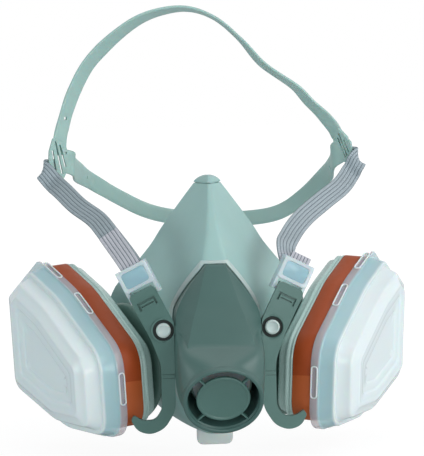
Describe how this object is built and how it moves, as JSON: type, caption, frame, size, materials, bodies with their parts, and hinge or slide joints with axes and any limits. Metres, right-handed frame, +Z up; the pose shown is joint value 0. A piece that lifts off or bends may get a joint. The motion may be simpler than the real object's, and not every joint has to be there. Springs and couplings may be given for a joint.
{
  "type": "respirator",
  "caption": "Half-face respirator: soft facepiece with bayonet filter cartridges on the cheeks, round exhalation housing in front, and a head harness with buckles and a crown cradle.",
  "frame": {"origin": "Centre of the facepiece's opening, in the plane that lies against the wearer's face.", "axes": "+Y points towards the wearer's face, +Z up along the face to the crown, +X to the right in the picture, which is the wearer's left."},
  "size_m": [0.2322, 0.2458, 0.2542],
  "materials": {
    "facepiece_elastomer": "soft grey-green thermoplastic elastomer, satin",
    "cover_moulding": "dark grey-green moulded plastic, fine satin texture",
    "port_moulding": "dark olive-green moulded plastic, satin",
    "gasket_rubber": "dark grey gasket rubber, dull",
    "valve_rubber": "thin pale silicone membrane",
    "cartridge_moulding": "pale grey-green moulded plastic, satin",
    "label_film": "plain orange-brown label film, no printing",
    "carbon_grain": "black activated carbon granules, loose bed",
    "filter_felt": "white non-woven filter felt",
    "clear_retainer": "frosted translucent polypropylene",
    "buckle_plastic": "translucent pale blue-white acetal",
    "webbing": "grey ribbed elastic webbing",
    "cradle_plastic": "light green flexible moulded strap"
  },
  "bodies": {
    "mask": {"facepiece": "facepiece_elastomer", "front_cover": "cover_moulding", "exhalation_seat": "port_moulding", "bayonet_port_left": "port_moulding", "bayonet_port_right": "port_moulding", "port_gasket_left": "gasket_rubber", "port_gasket_right": "gasket_rubber", "yoke_arm_left": "cover_moulding", "yoke_arm_right": "cover_moulding", "yoke_stud_left": "facepiece_elastomer", "yoke_stud_right": "facepiece_elastomer"},
    "exhalation_flap": {"exhalation_valve": "valve_rubber"},
    "inhalation_flap_left": {"inhalation_valve_left": "valve_rubber"},
    "inhalation_flap_right": {"inhalation_valve_right": "valve_rubber"},
    "cartridge_left": {"cartridge_case_left": "cartridge_moulding", "cartridge_lid_left": "cartridge_moulding", "carbon_bed_left": "carbon_grain", "cartridge_label_left": "label_film"},
    "retainer_left": {"filter_retainer_left": "clear_retainer", "prefilter_left": "filter_felt"},
    "cartridge_right": {"cartridge_case_right": "cartridge_moulding", "cartridge_lid_right": "cartridge_moulding", "carbon_bed_right": "carbon_grain", "cartridge_label_right": "label_film"},
    "retainer_right": {"filter_retainer_right": "clear_retainer", "prefilter_right": "filter_felt"},
    "harness": {"buckle_left": "buckle_plastic", "buckle_right": "buckle_plastic", "strap_left": "webbing", "strap_right": "webbing", "rear_band": "cradle_plastic"},
    "crown": {"crown_band": "cradle_plastic"}
  },
  "joints": [
    {"name": "cartridge_left_turn", "type": "hinge", "parent": "mask", "child": "cartridge_left", "pos_m": [-0.0492, -0.003, -0.0364], "axis": [-0.8648, -0.4993, -0.0523], "range_deg": [0, 90]},
    {"name": "cartridge_right_turn", "type": "hinge", "parent": "mask", "child": "cartridge_right", "pos_m": [0.0492, -0.003, -0.0364], "axis": [-0.8648, 0.4993, 0.0523], "range_deg": [0, 90]},
    {"name": "retainer_left_pull", "type": "slide", "parent": "cartridge_left", "child": "retainer_left", "axis": [-0.8648, -0.4993, -0.0523], "range_m": [0, 0.025]},
    {"name": "retainer_right_pull", "type": "slide", "parent": "cartridge_right", "child": "retainer_right", "axis": [0.8648, -0.4993, -0.0523], "range_m": [0, 0.025]},
    {"name": "exhalation_valve_lift", "type": "slide", "parent": "mask", "child": "exhalation_flap", "axis": [0, -0.8746, -0.4848], "range_m": [0, 0.002], "stiffness_N_per_m": 100},
    {"name": "inhalation_valve_left_lift", "type": "slide", "parent": "mask", "child": "inhalation_flap_left", "axis": [0.8648, 0.4993, 0.0523], "range_m": [0, 0.0015], "stiffness_N_per_m": 100},
    {"name": "inhalation_valve_right_lift", "type": "slide", "parent": "mask", "child": "inhalation_flap_right", "axis": [-0.8648, 0.4993, 0.0523], "range_m": [0, 0.0015], "stiffness_N_per_m": 100},
    {"name": "harness_swing", "type": "hinge", "parent": "mask", "child": "harness", "pos_m": [0, -0.0478, 0.0069], "axis": [1, 0, 0], "range_deg": [-12, 18]},
    {"name": "crown_band_tilt", "type": "hinge", "parent": "harness", "child": "crown", "pos_m": [0.0034, 0.0792, 0.0822], "axis": [0.9997, 0.0116, 0.0227], "range_deg": [-8, 2]}
  ]
}
